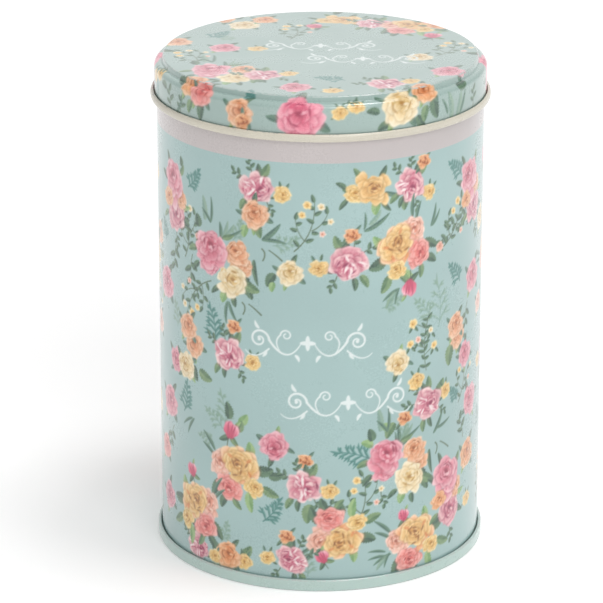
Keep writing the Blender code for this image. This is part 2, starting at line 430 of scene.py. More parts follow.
def ruffles(pen, places, size, colours, seed):
    """Loose petals that run a cluster's roses into one mass."""
    any_of = np.random.default_rng(seed).uniform
    _, deep, mid, pale = tones(colours)
    for x, y in places:
        petal(pen.moved(x, y, turn=math.degrees(math.atan2(-x, y)) + any_of(-25, 25)),
              size * any_of(0.8, 1.15), size * any_of(0.85, 1.3), deep * 0.3 + mid * 0.7,
              pale, any_of(0, FULL_TURN))


def blossom(pen, size, colours, seed):
    """A small open flower of five petals."""
    any_of = np.random.default_rng(seed).uniform
    dark, deep, mid, pale = tones(colours)
    start = any_of(0, 72)
    for k in range(5):
        petal(pen.moved(turn=start + 72 * k + any_of(-12, 12)).moved(0, 0.25 * size),
              0.5 * size * any_of(0.85, 1.15), 0.44 * size, mid, pale, any_of(0, FULL_TURN), 0.45)
    petal(pen, 0.3 * size, 0.26 * size, deep, mid, 1.0, 0.5)
    crease(pen, 0.11 * size, any_of(0, 360), 200, 0.07 * size, dark, 0.75)


TOOTHED_WIDTH = 2.3               # wider leaves have toothed edges


def leaf(pen, length, width, colours, bend=0.0, share=1.0):
    """A pointed leaf that grows along the pen's y axis, with a lit and a shaded half."""
    dark, light = tones(colours)
    cells, x, y = pen.cells(length * 1.08)
    u = y / length
    x = x - bend * length * 4 * u * (1 - u)
    along = np.clip(u, 0, 1)
    half = width / 2 * np.sqrt(np.clip(np.sin(along ** 0.85 * math.pi), 0, 1)) * (1 - 0.25 * along)
    half = half * (1 + 0.1 * np.sin(u * 44 + 0.9 * np.sign(x)) * (width > TOOTHED_WIDTH))
    edge = np.maximum(np.abs(x) - half, np.maximum(-y, y - length))
    lit = smooth(x / width, -0.06, 0.1)
    veins = (0.07 * np.sin(u * 19 - np.abs(x) / width * 9 + 2 * np.sin(u * 5))
             + 0.1 * np.sin(x * 2.1 + y * 1.3))
    rib = 0.35 * np.clip(1 - np.abs(x) / (0.07 * width + 0.08), 0, 1) * (width > 1.2)
    t = np.clip(0.15 + 0.6 * lit + veins + rib, 0, 1)[..., None]
    pen.sheet.lay(cells, pen.inside(edge, 2.4) * share, dark + (light - dark) * t)


def leaves(pen, bend, rows):
    """Leaves from rows of (x, y, turn, length, width, colours)."""
    for x, y, turn, length, width, colours in rows:
        share = 0.75 if colours is PALE_LEAF else 1.0
        leaf(pen.moved(x, y, turn=turn), length, width, colours, bend, share)


def stem(pen, points, width, colour, taper=0.5, share=1.0):
    """A line through points, width across at its start and taper times that at its end."""
    points = np.array(points, float)
    centre = (points.max(0) + points.min(0)) / 2
    pen, points = pen.moved(*centre), points - centre
    cells, x, y = pen.cells(np.hypot(*points.T).max() + width)
    best = np.full(np.broadcast(x, y).shape, 9.0)
    count = len(points) - 1
    for k, (p, q) in enumerate(zip(points, points[1:])):
        d = q - p
        t = np.clip(((x - p[0]) * d[0] + (y - p[1]) * d[1]) / max(d @ d, 1e-9), 0, 1)
        half = width / 2 * (1 + (taper - 1) * (k + t) / count)
        best = np.minimum(best, np.hypot(x - p[0] - t * d[0], y - p[1] - t * d[1]) - half)
    pen.sheet.lay(cells, pen.inside(best) * share, np.array(colour) / 255)


def bow(start, middle, end, count=12):
    """Points along a curve from start to end that leans towards middle."""
    t = np.linspace(0, 1, count)[:, None]
    start, middle, end = np.array((start, middle, end), float)
    return (1 - t) ** 2 * start + 2 * t * (1 - t) * middle + t * t * end


def spot(pen, across, colour):
    cells, x, y = pen.cells(across)
    pen.sheet.lay(cells, pen.inside(np.hypot(x, y) - across / 2), np.array(colour) / 255)


# ---------------------------------------------------------------- motifs
def fern(pen, length, colours=TEAL, pairs=5, share=1.0):
    """A loose feathery frond."""
    any_of = np.random.default_rng(int(length * 10)).uniform
    stalk = bow((0, 0), (0.14 * length, 0.5 * length), (0, length), 8)
    stem(pen, stalk, 0.38, colours[0], 0.6, share)
    for k in range(pairs):
        along = (k + 0.5) / pairs
        reach = length * (0.5 - 0.3 * along)
        for side in (-1, 1):
            twig = pen.moved(0.06 * length * math.sin(along * 3),
                             (along + 0.03 * side) * length * 0.9,
                             turn=side * (58 - 20 * along) + any_of(-8, 8))
            leaf(twig, reach, 1.0, colours, side * 0.1, share)
            for out, turn, long in ((0.45, -side * 30, 0.42), (0.5, side * 34, 0.36)):
                leaf(twig.moved(0, reach * out, turn=turn), reach * long, 0.8, colours, 0.0, share)
    leaf(pen.moved(0, length * 0.88), length * 0.25, 0.9, colours, 0.0, share)


def pale_fern(pen, length):
    fern(pen, length, PALE_LEAF, 4, 0.55)


def sprig(pen, length):
    """A twig with small dark leaves."""
    stem(pen, bow((0, 0), (0.15 * length, 0.5 * length), (0, length), 8), 0.36, TWIG, 0.5)
    for along, turn, size in ((0.35, 60, 0.42), (0.5, -55, 0.46), (0.75, 48, 0.38),
                              (0.92, -30, 0.4)):
        place = pen.moved(0.06 * length, along * length, turn=turn)
        leaf(place, size * length, 0.2 * length + 0.4, DARK_LEAF)


def vine(pen):
    """A curling twig with small leaves and blossoms."""
    pen = pen.moved(size=1.2)
    stem(pen, bow((-4.5, -7), (1.5, -2), (1.0, 7.5), 14), 0.36, TWIG, 0.5)
    stem(pen, bow((0.3, -1), (3.5, 0.5), (4.6, 4.0), 10), 0.3, TWIG, 0.5)
    stem(pen, bow((-1.6, -4), (-4.0, -1.5), (-4.2, 2.4), 10), 0.3, TWIG, 0.5)
    for x, y, turn, long in ((-3.2, -5.6, 40, 2.4), (-1.4, -4.2, -70, 2.4), (0.2, -1.6, -95, 2.0),
                             (0.9, 1.2, 60, 2.4), (1.0, 3.4, -60, 2.3), (0.9, 7.0, 15, 2.4),
                             (3.0, 0.9, -70, 2.0), (4.4, 3.8, 5, 2.3), (-3.7, -1.2, 70, 2.1),
                             (-4.2, 2.0, -15, 2.3), (1.1, 5.2, 70, 2.0), (-4.0, 0.6, -70, 1.8)):
        leaf(pen.moved(x, y, turn=turn), long, 1.3, DARK_LEAF)
    for x, y, colours, size in ((2.8, 5.8, CREAM, 2.2), (-2.4, 3.4, YELLOW, 2.2),
                                (5.4, 1.6, CREAM, 1.8), (-1.0, 6.2, YELLOW, 2.6),
                                (3.2, -1.9, BLUSH, 1.8)):
        blossom(pen.moved(x, y), size, colours, 3 + int(10 * size))


def bud(pen):
    """A closed bud with its leaves."""
    pen = pen.moved(size=1.25)
    dark, deep, mid, pale = tones(ROSE_RED)
    stem(pen, bow((0, -1.5), (-0.5, -3), (-0.2, -5), 6), 0.4, TWIG, 0.6)
    leaf(pen.moved(0.2, -1.6, turn=-125), 3.6, 1.9, MID_LEAF, 0.05)
    leaf(pen.moved(-0.2, -1.6, turn=130), 3.8, 1.9, DARK_LEAF, -0.05)
    leaf(pen.moved(1.2, 1.4, turn=-30), 2.6, 1.3, LIGHT_LEAF, -0.05)
    petal(pen.moved(-0.9, 0.1, turn=16), 4.4, 2.8, deep, mid, 0.5, 0.3)
    petal(pen.moved(0.9, 0.1, turn=-18), 4.4, 2.8, deep, pale, 1.7, 0.5)
    petal(pen.moved(0, 0.1), 4.4, 2.2, dark * 0.3 + deep * 0.7, mid, 2.6, 0.5)
    for x, turn in ((-0.9, 8), (0.2, -4), (1.0, -14)):
        dab(pen, x, 0.6, 3.0, 0.45, turn, dark, 0.5)


def orange_bud(pen):
    """A small ragged orange flower with rust in its folds."""
    leaf(pen.moved(-1.4, -1.4, turn=140), 3.0, 1.3, DARK_LEAF)
    leaf(pen.moved(1.4, 1.4, turn=-40), 2.6, 1.2, SLIM_LEAF)
    rose(pen, 6.0, ORANGE, 21, (0.05, -0.1), 0.85)
    rust = np.array(RUST) / 255
    for x, y, long, turn in ((-0.2, -0.5, 2.6, 66), (0.6, 0.9, 1.8, 28), (-1.5, 0.2, 1.6, -14),
                             (1.4, -0.9, 1.5, 110)):
        dab(pen, x, y, long, 0.8, turn, rust, 0.8)


def small_yellow(pen, size=1.0, seed=5):
    """A small yellow rose with three thin leaves."""
    leaf(pen.moved(1.4 * size, 2.2 * size, turn=-28), 2.3 * size, 1.1, SLIM_LEAF)
    leaf(pen.moved(-0.4, 2.6 * size, turn=14), 2.2 * size, 1.0, DARK_LEAF)
    leaf(pen.moved(-2.4 * size, -1.0, turn=110), 1.9 * size, 1.0, DARK_LEAF)
    rose(pen, 6.6 * size, YELLOW, seed, (0.05, 0.0), 0.95)


def leaf_pair(pen, length):
    """Two slender leaves from one point."""
    leaf(pen, length, 2.1, SLIM_LEAF, 0.05)
    leaf(pen.moved(turn=-48), length * 0.95, 1.5, SLIM_LEAF, -0.06)


def lone(colours, length, width, share=1.0):
    """A drawing of one leaf."""
    def draw(pen):
        leaf(pen, length, width, colours, 0.06, share)
    return draw


def tendril(pen):
    """A hooked stalk and a straight one, each no thicker than a thread."""
    stem(pen, bow((0, 0), (1.8, -1.4), (0.3, -4.0), 8), 0.5, TWIG, 0.9)
    stem(pen, bow((2.4, -0.2), (4.6, -1.4), (6.8, -3.4), 6), 0.34, TWIG, 1.6)


def garland(pen):
    """A hanging twig with small dark leaves, and yellow and cream blossoms."""
    any_of = np.random.default_rng(7).uniform
    line = bow((0.6, 9.0), (-2.0, 0.0), (0.2, -9.0), 14)
    stem(pen, line, 0.34, TWIG, 0.7)
    for k, (x, y) in enumerate(line[::2]):
        side = 1 if k % 2 else -1
        for turn in (side * 52, -side * 74):
            leaf(pen.moved(x, y, turn=turn + any_of(-20, 20)), any_of(2.0, 2.9), 1.35, DARK_LEAF)
    for x, y, colours, size in ((-5.6, 8.6, YELLOW, 3.6), (-6.6, 1.6, YELLOW, 3.0),
                                (-3.4, 2.6, BLUSH, 2.6), (3.6, -0.8, YELLOW, 3.0),
                                (2.0, 4.8, CREAM, 2.2)):
        stem(pen, bow((x, y), (x * 0.5, y - 1.0), (-0.6, y - 2.6), 6), 0.3, TWIG, 0.8)
        leaf(pen.moved(x - 0.4, y - 1.2, turn=150), 2.3, 1.2, DARK_LEAF)
        leaf(pen.moved(x + 0.6, y - 1.2, turn=-140), 2.3, 1.2, DARK_LEAF)
        blossom(pen.moved(x, y), size, colours, 7 + int(10 * size))


def foliage(pen, size, seed):
    """Four leaves that stand out behind a rose."""
    vary = np.random.default_rng(seed + 77)
    any_of = vary.uniform
    start = any_of(0, 360)
    for k in range(4):
        turn = start + 90 * k + any_of(-24, 24)
        kind = (DARK_LEAF, MID_LEAF, DARK_LEAF, LIGHT_LEAF, SLIM_LEAF)[int(vary.integers(5))]
        leaf(pen.moved(turn=turn).moved(0, 0.34 * size, turn=any_of(-30, 30)),
             any_of(0.3, 0.42) * size, any_of(0.13, 0.22) * size, kind, any_of(-0.08, 0.08))


def mauve(pen, seed=1):
    """A mauve rose with pale streaks, a small flower beside it and sprigs above."""
    sprig(pen.moved(-4.0, 2.6, turn=64), 5.0)
    sprig(pen.moved(-1.6, 4.4, turn=14), 4.8)
    leaves(pen, 0.06, ((1.6, 3.8, -30, 5.6, 3.2, MID_LEAF), (0.6, 4.2, -2, 4.2, 2.4, DARK_LEAF),
                       (-3.6, -4.0, 150, 4.6, 2.6, MID_LEAF),
                       (-1.6, -4.6, 176, 4.2, 2.2, DARK_LEAF)))
    sprig(pen.moved(3.6, -4.0, turn=-150), 4.4)
    small_yellow(pen.moved(8.8, -1.4), 0.95, seed + 4)
    rose(pen, 12.6, MAUVE, seed, (0.1, -0.04), 0.88)
    _, deep, _, pale = tones(MAUVE)
    any_of = np.random.default_rng(seed + 9).uniform
    for _ in range(9):
        turn, away = any_of(60, 300), any_of(1.6, 4.8)
        x = away * math.cos(math.radians(turn))
        y = 0.85 * away * math.sin(math.radians(turn))
        dab(pen, x, y, any_of(2.4, 3.8), 0.95, turn + any_of(60, 120), pale * 0.5 + 0.5, 0.85)
        dab(pen, x + 0.7, y - 0.3, 2.6, 0.6, turn + any_of(60, 120), deep, 0.7)


def trio(pen, seed=1):
    """A pink, a peach and a cream rose with their leaves."""
    leaves(pen, 0.05, (
        (-2.2, 9.6, 6, 8.4, 2.6, PALE_LEAF), (0.4, 9.2, -1, 9.0, 1.2, SLIM_LEAF),
        (0.4, 9.2, 42, 6.0, 1.2, SLIM_LEAF), (5.4, 5.2, -20, 6.4, 1.6, PALE_LEAF),
        (5.8, 5.0, -38, 6.8, 1.6, PALE_LEAF), (4.6, 5.0, 4, 5.4, 1.6, SLIM_LEAF),
        (4.6, 4.6, -62, 9.6, 1.3, SLIM_LEAF), (-5.0, 6.6, 14, 4.6, 3.4, DARK_LEAF),
        (-6.0, -0.6, 112, 4.8, 2.6, MID_LEAF), (-5.2, -5.4, 140, 5.0, 2.4, DARK_LEAF),
        (17.2, -0.6, -171, 9.0, 1.9, DARK_LEAF), (13.6, -6.4, -160, 8.6, 4.2, DARK_LEAF),
        (14.0, -9.4, -112, 5.6, 3.8, MID_LEAF), (6.4, -13.4, 160, 4.2, 3.4, LIGHT_LEAF),
        (9.6, -14.4, -170, 3.8, 2.4, DARK_LEAF), (4.0, -12.0, 130, 4.6, 2.2, DARK_LEAF),
        (5.4, 5.0, -70, 4.8, 2.2, MID_LEAF)
    ))
    rose(pen.moved(-0.4, -4.6), 9.4, PINK, seed + 1, (0.1, -0.1), 0.95)
    rose(pen.moved(12.6, -3.4), 8.6, PEACH, seed + 2, (0.0, 0.12))
    rose(pen.moved(11.2, 0.8), 10.0, PEACH, seed + 3, (-0.04, 0.1))
    rose(pen, 13.8, PINK, seed, (-0.05, 0.12), 1.04)
    rose(pen.moved(8.8, -9.2, turn=20), 12.0, CREAM, seed + 4, (0.06, 0.02), 1.0)


def gold(pen, seed=1):
    """A golden rose with a blush rose beside it, a coral one below and a yellow one."""
    leaves(pen, 0.05, (
        (-9.0, 5.4, 42, 8.0, 1.6, SLIM_LEAF), (-9.4, 3.6, 56, 6.4, 1.4, SLIM_LEAF),
        (4.6, 5.0, -8, 5.4, 3.4, LIGHT_LEAF), (7.0, 1.2, -80, 6.4, 4.6, DARK_LEAF),
        (9.4, -4.4, -116, 6.4, 3.6, MID_LEAF), (4.4, -6.8, -172, 7.4, 3.4, LIGHT_LEAF),
        (-6.6, -4.6, 150, 7.4, 3.8, DARK_LEAF), (-4.6, -9.6, 158, 5.2, 3.4, DARK_LEAF),
        (-1.6, -10.0, -140, 5.0, 2.6, MID_LEAF)
    ))
    ruffles(pen, ((-5.4, -3.4), (0.0, -7.4), (-7.4, 3.2)), 4.6, CORAL, seed)
    rose(pen.moved(-6.4, 1.2), 9.6, BLUSH, seed + 2, (-0.06, 0.08), 1.15)
    rose(pen.moved(-3.4, -6.4), 11.0, CORAL, seed + 1, (0.0, -0.04), 0.85)
    ruffles(pen, ((-3.6, 5.0), (0.2, 6.2), (4.8, 4.8), (6.0, 0.8), (3.0, -2.6)), 5.2, ORANGE, seed)
    rose(pen.moved(6.2, -5.0), 7.6, YELLOW, seed + 3)
    ruffles(pen, ((5.2, 2.6), (-1.6, 5.6), (3.4, 4.8), (-3.2, 3.6)), 4.8, GOLD, seed)
    rose(pen.moved(0.6, 1.8), 10.6, GOLD, seed, (-0.04, 0.06), 0.98)
    for x, y, turn in ((-1.6, 2.8, 20), (1.4, -0.2, -12), (3.6, 2.6, -30), (0.2, 4.0, 70),
                       (-0.8, -1.6, 100)):
        dab(pen, x, y, 2.6, 0.9, turn, np.array(GOLD[0]) / 255, 0.7)
    for x, y, turn in ((-2.8, 5.0, 60), (4.4, 4.2, -50), (4.8, -0.6, 20)):
        dab(pen, x, y, 2.8, 1.3, turn, np.array(ORANGE[1]) / 255, 0.6)


def side_cluster(pen, seed=1):
    """A tall cluster of pink, orange and mauve roses."""
    leaves(pen, 0.05, (
        (-5.0, 2.0, 60, 4.8, 2.4, DARK_LEAF), (5.0, -9.0, -120, 5.4, 2.6, DARK_LEAF),
        (-4.0, -9.0, 125, 5.0, 2.2, MID_LEAF), (4.6, 5.6, -30, 4.6, 2.4, MID_LEAF),
        (-3.0, 8.0, 20, 4.4, 2.0, DARK_LEAF), (6.0, -5.0, -80, 4.4, 2.2, LIGHT_LEAF)
    ))
    sprig(pen.moved(2.0, -14.5, turn=190), 5.2)
    rose(pen.moved(1.3, -8.6), 12.0, MAUVE, seed, (0.05, 0.0), 1.1)
    rose(pen.moved(4.4, -2.0), 8.2, PEACH, seed + 1)
    ruffles(pen, ((-2.6, -3.6), (3.6, 0.4), (0.4, -4.4)), 5.0, PINK, seed)
    rose(pen.moved(0, 3.2), 13.4, PINK, seed + 2, (-0.05, 0.1), 1.0)
    rose(pen.moved(-4.0, -4.2), 7.2, ORANGE, seed + 3)


def yellow_pair(pen):
    """Two yellow roses on one stem."""
    stem(pen, bow((-10, -4), (-6, 1), (-2, 0), 10), 0.4, TWIG, 0.8)
    leaves(pen, 0.05, (
        (-8.2, -3.0, 140, 4.2, 1.9, DARK_LEAF), (-3.6, 3.2, 30, 5.2, 2.4, MID_LEAF),
        (4.4, -1.4, -104, 6.4, 1.8, SLIM_LEAF), (2.6, 3.8, -30, 4.6, 2.2, DARK_LEAF),
        (-8.6, 1.0, 60, 4.0, 2.0, DARK_LEAF), (3.4, -4.0, -140, 5.0, 2.0, DARK_LEAF)
    ))
    rose(pen.moved(-6.2, -1.0), 7.4, YELLOW, 3)
    ruffles(pen, ((4.4, 2.6), (4.0, -3.4), (-3.6, 4.0)), 4.0, GOLD, 2)
    rose(pen, 11.2, GOLD, 2, (0.05, 0.05))


def single(colours, size):
    """A drawing of one rose with leaves behind it."""
    def draw(pen):
        foliage(pen, size, 4)
        rose(pen, size, colours, 4, (0.05, 0.07))
    return draw


def curl(centre, start_radius, end_radius, start, turns, count=34):
    """Points of a spiral, angles in degrees."""
    t = np.linspace(0, 1, count)
    radius = start_radius + (end_radius - start_radius) * t
    angle = np.radians(start + 360 * turns * t)
    return np.array(centre) + np.stack((radius * np.cos(angle), radius * np.sin(angle)), 1)


def scrollwork(pen, length, height):
    """A white scroll ornament, mirrored left and right of a small four-petal flower."""
    far, tall = length / 2, height
    ends = np.array((far, tall))

    def swing(pen, start, middle, end, count, width, taper):
        stem(pen, bow(start * ends, middle * ends, end * ends, count), width, WHITE, taper)

    for turn in (0, 90, 180, 270):
        leaf(pen.moved(turn=turn), 0.19 * tall, 0.12 * tall, (WHITE, WHITE))
    big, small = 0.25 * tall, 0.14 * tall
    hub, knot = (0.78 * far, 0.02 * tall), (0.34 * far, 0.17 * tall)
    for flip in (False, True):
        half = pen.moved(flip=flip)
        swing(half, (0.1, 0.0), (0.32, -0.62), (0.78 - big / far, 0.02), 18, 0.35, 2.4)
        stem(half, curl(hub, big, 0.05 * tall, 180, -1.35), 0.84, WHITE, 0.6)
        spot(half.moved(*hub), 1.2, WHITE)
        swing(half, (0.42, -0.28), (0.56, 0.0), (0.34 + small / far, 0.17), 12, 0.35, 1.7)
        stem(half, curl(knot, small, 0.04 * tall, 0, 1.2), 0.6, WHITE, 0.7)
        swing(half, (0.62, -0.2), (0.86, -0.55), (1.02, -0.3), 12, 0.6, 0.5)
        for x, y, turn, long in ((0.66, -0.24, -150, 0.2), (0.2, -0.3, 150, 0.2),
                                 (0.78, 0.28, -30, 0.22)):
            place = half.moved(x * far, y * tall, turn=turn)
            leaf(place, long * tall, 0.09 * tall, (WHITE, WHITE), 0.1)


# ---------------------------------------------------------------- the wall's print
WALL_TURN = math.tau * WALL_R


def wall_pen(sheet, angle, height, turn=0.0, flip=False):
    """A pen at an angle from the front, in degrees to the right, and a height."""
    place = ((angle / 360 + 0.5) * WALL_TURN, height - PRINT_LOW_Z)
    return Pen(sheet, place, np.eye(2)).moved(turn=turn, flip=flip)


peach_rose, cream_rose = single(PEACH, 10.5), single(CREAM, 9.5)
pink_rose, blush_rose, coral_rose = single(PINK, 11.0), single(BLUSH, 9.5), single(CORAL, 9.0)
orange_rose, red_rose = single(ORANGE, 9.5), single(ROSE_RED, 13.0)
dark_leaf, mid_leaf = lone(DARK_LEAF, 5.0, 3.2), lone(MID_LEAF, 5.0, 3.2)
light_leaf = lone(LIGHT_LEAF, 4.4, 3.2)
blade, pale_blade = lone(SLIM_LEAF, 8.0, 1.4), lone(PALE_LEAF, 8.0, 2.4, 0.75)

# (drawing, degrees to the right of the front, height, turn, size, flip); turn, size and flip
# may be left off. For the drawings in SIZED, the size is their length.
LEAF_LAYOUT = (
    (pale_fern, -31, 121, -24, 8.0), (pale_fern, 46, 88, 4, 17.0), (pale_fern, 42, 92, 40, 10.0),
    (pale_fern, -16, 121, -70, 9.0), (pale_fern, -35, 55, 8, 12.0), (pale_fern, -36, 54, 52, 9.0),
    (pale_fern, -40, 48, 80, 7.0), (pale_fern, 30, 51, -8, 8.0), (pale_fern, -4, 5, 8, 9.0),
    (pale_fern, -37, 13, -20, 8.0), (pale_fern, 22, 99, -70, 8.0), (pale_fern, -60, 84, 10, 9.0),
    (fern, -52, 135, -40, 9.0), (fern, -39, 84, 10, 12.5), (fern, 58, 138, 50, 9.0),
    (fern, 58, 101, 40, 9.5), (fern, -56, 55, -10, 11.0), (fern, 18.5, 46, 74, 13.0),
    (fern, 57, 59, 40, 7.0), (fern, -20, 23.5, -36, 10.5), (fern, 66, 118, 10, 9.0),
    (fern, -69, 112, 20, 8.0), (leaf_pair, -20, 122.5, -46, 8.8), (blade, -33.5, 99.5, 176),
    (blade, -33, 99.5, -154), (tendril, -27.5, 100), (tendril, -20, 119.5),
    (blade, 15.3, 126.5, -2, 0.75), (blade, 15.3, 126, -58, 1.3), (pale_blade, 17, 128, -40, 0.8),
    (light_leaf, 20, 136, 170, 1.1), (mid_leaf, 13, 139, 70, 1.1), (blade, 41.5, 124, -16),
    (blade, 42, 124, -34, 0.8), (blade, 28.5, 105, 122, 0.9), (blade, 28.3, 105, 165, 0.7),
    (pale_blade, 27, 104, 148, 0.8), (mid_leaf, 31, 137, 170, 1.1),
    (dark_leaf, -15.5, 111.5, 150, 1.1), (light_leaf, -16, 108.5, 170, 0.8),
    (light_leaf, -26, 127, 170), (mid_leaf, -21.5, 128, -170), (dark_leaf, -56, 141, 10, 0.7),
    (blade, 44, 50.5, -30, 1.1), (blade, 45.5, 52, -72, 0.9), (mid_leaf, 45, 64.5, -40, 1.2),
    (tendril, 45, 47), (light_leaf, 26, 55.5, 60, 1.1), (mid_leaf, 27, 58, 150, 1.2),
    (light_leaf, 19, 51, 70), (blade, 27.5, 49, 2, 0.7), (blade, 28, 49, -56, 1.1),
    (pale_blade, 29, 49.5, -30, 0.9), (blade, -50, 54, 150, 0.9), (blade, -51, 54, 125, 0.8),
    (light_leaf, -29, 57, -40, 1.1), (dark_leaf, -33, 58, 10, 1.2),
    (mid_leaf, -29.5, 54, -20, 0.9), (light_leaf, -25, 46, 0, 1.2),
    (dark_leaf, -18, 40, -80, 1.1), (mid_leaf, -3, 31, 170, 1.4), (dark_leaf, 7.5, 26.5),
    (blade, 24, 12, 84, 0.8), (blade, 24, 10.5, 96, 0.8), (blade, 26, 11, 118, 0.9),
    (pale_blade, 25, 10.5, 138, 0.8), (blade, 25.5, 11.5, 160, 0.7),
    (dark_leaf, -40.5, 19, 170, 0.8), (mid_leaf, -28.5, 9, -40, 1.2),
    (mid_leaf, -47, 72, -110, 1.3), (dark_leaf, -50, 73, -160, 1.1), (mid_leaf, 53, 80, 170, 1.5),
    (dark_leaf, 57, 79, -140), (sprig, 60, 128, 170, 8.0), (sprig, 57, 121, 80, 7.0),
    (sprig, 52, 119, 110, 6.0), (sprig, -56, 126, -150, 8.0), (sprig, -50, 121, -120, 6.0),
    (sprig, -60, 114, 170, 9.0), (sprig, -50, 112, 176, 9.0), (sprig, -45, 103, 150, 6.0),
    (sprig, 22, 34, -160, 5.0), (sprig, 64, 92, 170, 8.0), (sprig, -64, 47, 160, 8.0),
    (sprig, 62, 44, 20, 8.0), (sprig, 0, 29, -60, 6.0),
)
WALL_LAYOUT = (
    (vine, -3, 128), (garland, 40, 83), (vine, 16, 32, 12), (vine, -52, 120, 20),
    (vine, 55, 122, -15), (vine, -49, 99, 160), (vine, 62, 66, 10, 0.9), (mauve, -22, 140),
    (peach_rose, -22.5, 131, 30), (mauve, 10, 115.5, 0, 1.1, True), (cream_rose, -10, 112, 15),
    (trio, -41, 116), (yellow_pair, 18, 140), (mauve, 32.5, 140, -18, 0.95),
    (orange_bud, 38, 147), (orange_bud, 11, 125), (gold, 29.5, 119, 38, 1.0, True),
    (bud, 32.5, 104.5, 180, 0.95), (blush_rose, 46, 116, 0, 0.4), (mauve, -33, 81),
    (orange_bud, -31, 91), (cream_rose, 28, 79, 200), (mauve, 41, 62, 25),
    (small_yellow, 36, 71, 20), (pink_rose, -16, 51, 200), (bud, -32.5, 54, -12), (gold, -30, 40),
    (orange_bud, -5, 46.5), (mauve, -5.5, 37), (trio, 24, 46), (orange_bud, 31, 59),
    (bud, 31, 24, 10, 0.7), (gold, 7, 19.5, 180, 0.95, True), (bud, 1, 12, 30, 0.75),
    (gold, 36, 14.5, 8), (mauve, -9.5, 10.5, -10, 0.95, True), (orange_bud, -11.5, 19),
    (small_yellow, -27.5, 7.5), (orange_rose, -34, 8.5, 0, 1.15), (mauve, -48.5, 8, 0, 0.9),
    (gold, -49, 22.5, 10, 1, True), (bud, -51.5, 35, 20, 0.8), (peach_rose, 57, 82, 30, 0.9),
    (peach_rose, 56, 86, 0, 0.95), (pink_rose, 63, 74, 30, 0.9), (pink_rose, 68, 56, 60, 1.1),
    (orange_rose, 66, 37, 0, 1.2), (side_cluster, 51.5, 30, 0, 1.05), (side_cluster, 65, 133, 10),
    (pink_rose, 69, 100, 0, 1.1), (small_yellow, 66, 20, 0, 0.9),
    (peach_rose, -49.5, 80.5, 40, 0.95), (peach_rose, -53, 86, 0, 0.95),
    (pink_rose, -61, 72, 80, 0.9), (cream_rose, -54.5, 72, 80, 1.1),
    (pink_rose, -67, 55, 0, 1.15), (side_cluster, -62, 132), (coral_rose, -72, 37, 0, 1.1),
    (pink_rose, -69, 20, 20), (pink_rose, -69, 97, 0, 1.15), (blush_rose, -79, 80),
    (peach_rose, -78, 112, 0, 0.9), (cream_rose, 78, 118), (blush_rose, 77, 88, 0, 0.9),
)
# between the front and the back; the same artwork is printed twice round the tin
SIDE_LAYOUT = (
    (gold, 90, 104, 30), (mauve, 87, 68, 0, 1, True), (cream_rose, 97, 50),
    (fern, 80, 42, 20, 9.0), (peach_rose, 90, 20), (vine, 97, 86), (bud, 84, 138),
    (small_yellow, 97, 132), (leaf_pair, 96, 8, 0, 6.0), (vine, 84, 22), (sprig, 90, 34, 20, 8.0),
)
# in the back's middle, where the front has its scrollwork
BACK_LAYOUT = (
    (trio, -13, 82, 12), (gold, 13, 84, -20), (vine, 3, 64, 40), (small_yellow, 20, 66),
)
SIZED = (fern, pale_fern, leaf_pair, sprig)
VARIED = (trio, gold, side_cluster, mauve)       # no two of one kind are alike on the wall


def draw(drawing, pen, size, *seed):
    """Draws one motif; the size is a length for those in SIZED and a scale for the rest."""
    if drawing in SIZED:
        drawing(pen, size)
    else:
        drawing(pen.moved(size=size), *seed)


def draw_on_wall(sheet, around, drawing, angle, height, turn=0, size=1.0, flip=False):
    """One row of a wall layout, around degrees further round the tin."""
    seed = [int(abs(angle * 7 + height))] if drawing in VARIED else []
    draw(drawing, wall_pen(sheet, angle + around, height, turn, flip), size, *seed)


PRINT_LOW_Z = SEAM_HEIGHT + 0.25
wall_sheet = Sheet(WALL_TURN / 2, BAND_Z - PRINT_LOW_Z, AQUA, True)
for row in LEAF_LAYOUT + WALL_LAYOUT + SIDE_LAYOUT:
    draw_on_wall(wall_sheet, 0.0, *row)
wall_sheet.repeated(2)
for row in BACK_LAYOUT:
    draw_on_wall(wall_sheet, 180.0, *row)
scrollwork(wall_pen(wall_sheet, -4, 88), 42, 14)
scrollwork(wall_pen(wall_sheet, 10, 67), 44, 14)

# ---------------------------------------------------------------- the lid's print
LID_PATH = [(0.0, LID_TOP_Z - HALF)]
LID_PATH += arc(LID_PANEL_R, LID_TOP_Z - HALF - LID_PANEL_BEND_R, LID_PANEL_BEND_R, 90, 8, 8)
LID_PATH += arc(LID_RING_R, LID_RING_Z + LID_FILLET_R, LID_FILLET_R, 188, 270, 8)
LID_PATH += arc(LID_SKIRT_MID - LID_SHOULDER_R, LID_RING_Z - LID_SHOULDER_R, LID_SHOULDER_R,
                90, 0, 16)
LID_CURL_Z = LID_CURL_LOW_Z + HALF + LID_CURL_HALF_H
PRINT_FOOT_Z = LID_CURL_Z + 0.5
lid_outer = offset_line(LID_PATH, HALF) + [(LID_SKIRT_MID + HALF, PRINT_FOOT_Z)]
lid_outer[0] = (0.0, LID_TOP_Z)
lid_dense = resample(lid_outer, LID_STEP)
lid_steps = np.diff(np.array(lid_dense), axis=0)
lid_run = np.concatenate(([0.0], np.cumsum(np.hypot(*lid_steps.T))))
LID_SHEET_R = lid_run[-1] + 1.5
lid_sheet = Sheet(2 * LID_SHEET_R, 2 * LID_SHEET_R, LID_AQUA, False)


def top_pen(x, y, turn=0.0):
    """A pen on the lid's flat top."""
    return Pen(lid_sheet, (x + LID_SHEET_R, y + LID_SHEET_R), np.eye(2)).moved(turn=turn)


